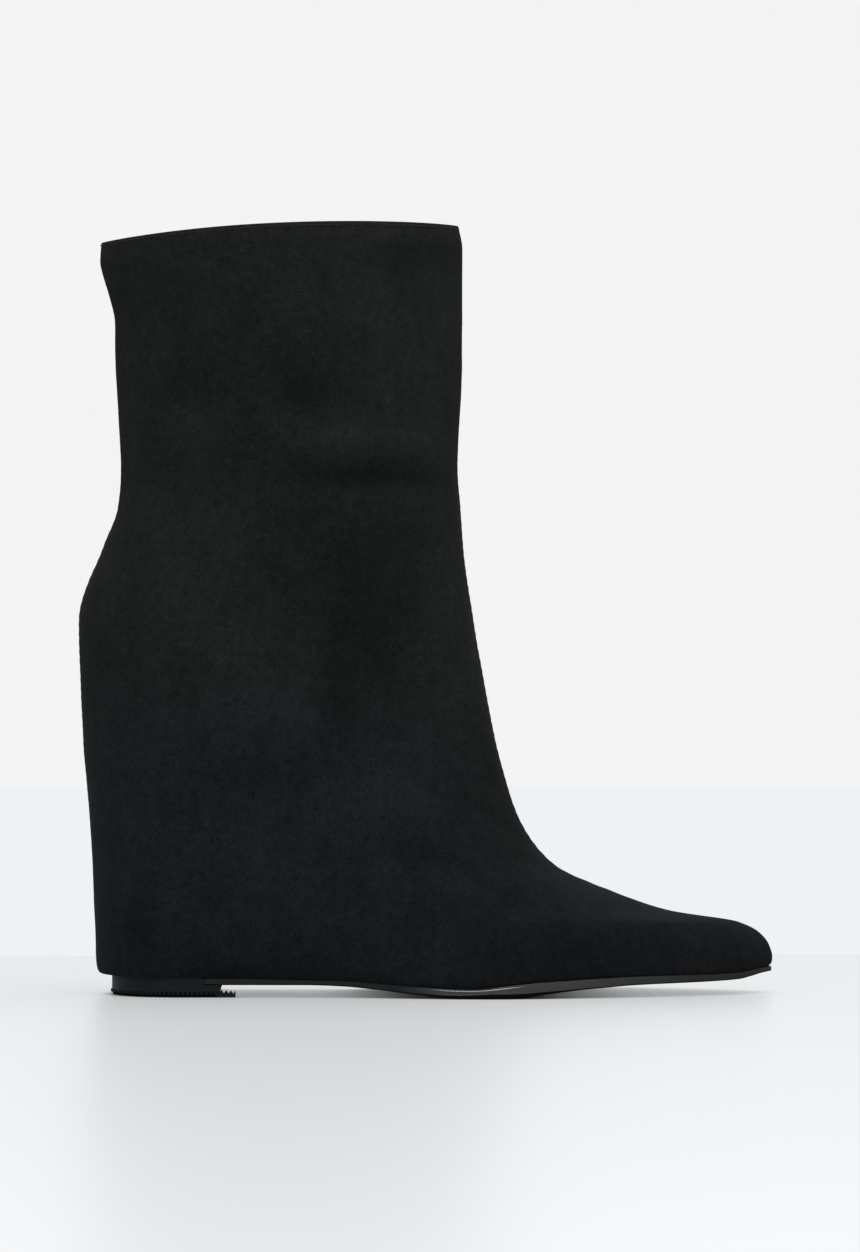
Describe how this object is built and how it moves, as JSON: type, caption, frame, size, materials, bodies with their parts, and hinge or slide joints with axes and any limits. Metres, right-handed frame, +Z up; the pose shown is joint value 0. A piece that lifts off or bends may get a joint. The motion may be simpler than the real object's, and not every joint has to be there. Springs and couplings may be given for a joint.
{
  "type": "ankle boot",
  "caption": "Pull-on ankle boot with a pointed toe, its suede upper drawn down over a high covered wedge, on a thin moulded outsole and a ribbed heel lift. Right foot.",
  "frame": {"origin": "on the floor, under the middle of the boot's box", "axes": "+X towards the toe, +Y towards the inner side of a right foot, +Z up out of the collar"},
  "size_m": [0.2354, 0.0872, 0.2598],
  "materials": {
    "suede": "black brushed suede with a soft matt nap",
    "sock": "dark smooth sock leather on a padded board",
    "wedge_core": "light hard foam, hidden inside the upper",
    "sole": "black moulded sole, half gloss at its edge",
    "lift": "black matt rubber with fine upright ribs"
  },
  "bodies": {
    "root": {"upper": "suede", "insole": "sock", "wedge": "wedge_core", "outsole": "sole", "heel_lift": "lift"}
  },
  "joints": []
}
